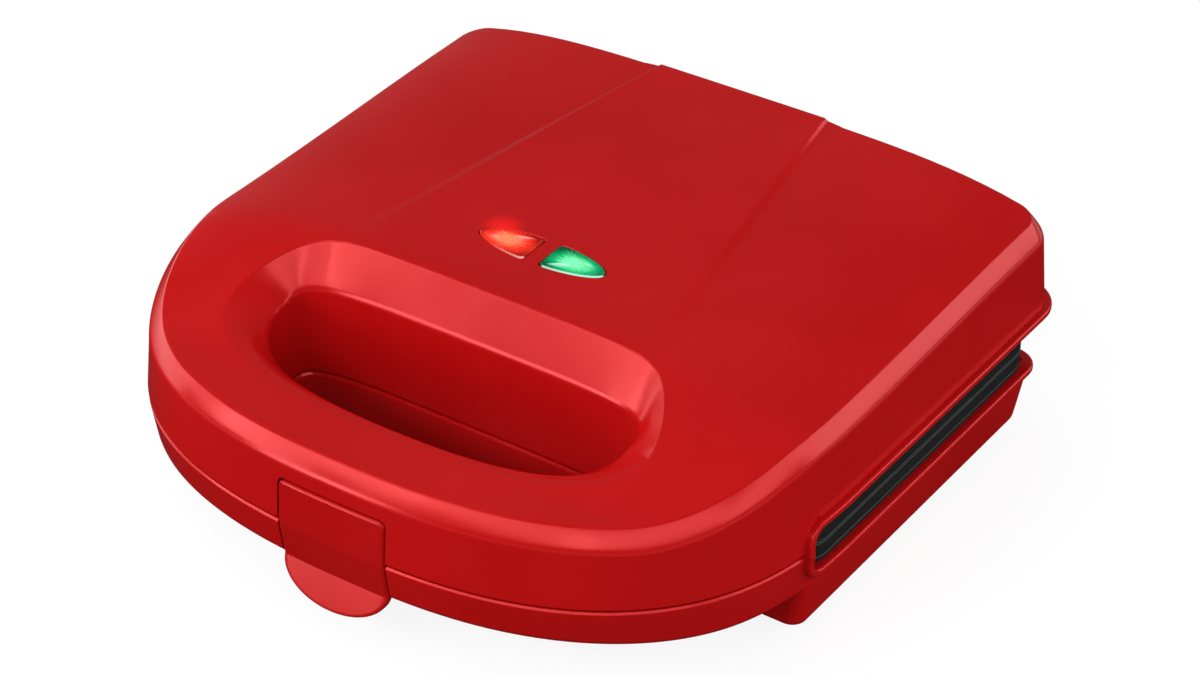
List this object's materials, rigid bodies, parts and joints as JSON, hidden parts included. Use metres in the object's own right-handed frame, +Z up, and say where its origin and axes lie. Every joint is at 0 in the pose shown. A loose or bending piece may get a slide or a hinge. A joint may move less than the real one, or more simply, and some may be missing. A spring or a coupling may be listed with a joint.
{
  "type": "sandwich maker",
  "caption": "Closed two-slice electric sandwich maker with a hinged lid, a through finger opening in its rounded front bar, a front latch, two lamps and dark plates.",
  "frame": {"origin": "centre of the closed part's bounding box, on the table", "axes": "+X to the user's right, +Y to the hinge at the back, +Z up"},
  "size_m": [0.2298, 0.2224, 0.08],
  "materials": {
    "red_plastic": "glossy moulded",
    "latch_plastic": "glossy moulded",
    "plate_coating": "satin non-stick coating on cast aluminium",
    "element_steel": "drawn tube",
    "aluminium": "bright sheet",
    "steel": "zinc plated",
    "rubber": "matt",
    "ceramic": "unglazed ceramic",
    "black_plastic": "moulded",
    "lamp_glass": "clear",
    "red_lens": "clear tinted",
    "green_lens": "clear tinted"
  },
  "bodies": {
    "base": {"base_shell": "red_plastic", "base_handle_cover": "red_plastic", "lower_plate": "plate_coating", "lower_heating_element": "element_steel", "lower_reflector": "aluminium", "terminal_block": "ceramic", "cord_bush": "rubber", "front_left_foot": "rubber", "front_right_foot": "rubber", "rear_left_foot": "rubber", "rear_right_foot": "rubber", "left_hinge_pin": "steel", "right_hinge_pin": "steel", "base_cover_screw_1": "steel", "base_cover_screw_2": "steel", "base_cover_screw_3": "steel", "base_cover_screw_4": "steel", "lower_plate_screw_1": "steel", "lower_plate_screw_2": "steel", "lower_plate_screw_3": "steel"},
    "lid": {"lid_shell": "red_plastic", "lid_handle_cover": "red_plastic", "upper_plate": "plate_coating", "upper_heating_element": "element_steel", "upper_reflector": "aluminium", "thermostat": "ceramic", "thermal_fuse": "aluminium", "lamp_holder": "black_plastic", "red_lamp": "lamp_glass", "green_lamp": "lamp_glass", "red_lens": "red_lens", "green_lens": "green_lens", "latch_pin": "steel", "lid_cover_screw_1": "steel", "lid_cover_screw_2": "steel", "lid_cover_screw_3": "steel", "lid_cover_screw_4": "steel", "upper_plate_screw_1": "steel", "upper_plate_screw_2": "steel", "upper_plate_screw_3": "steel"},
    "latch": {"latch": "latch_plastic"}
  },
  "joints": [
    {"name": "lid_hinge", "type": "hinge", "parent": "base", "child": "lid", "pos_m": [0, 0.10221, 0.03], "axis": [-1, 0, 0], "range_deg": [0, 105]},
    {"name": "latch_hinge", "type": "hinge", "parent": "lid", "child": "latch", "pos_m": [0, -0.10596, 0.0441], "axis": [-1, 0, 0], "range_deg": [0, 20]}
  ]
}
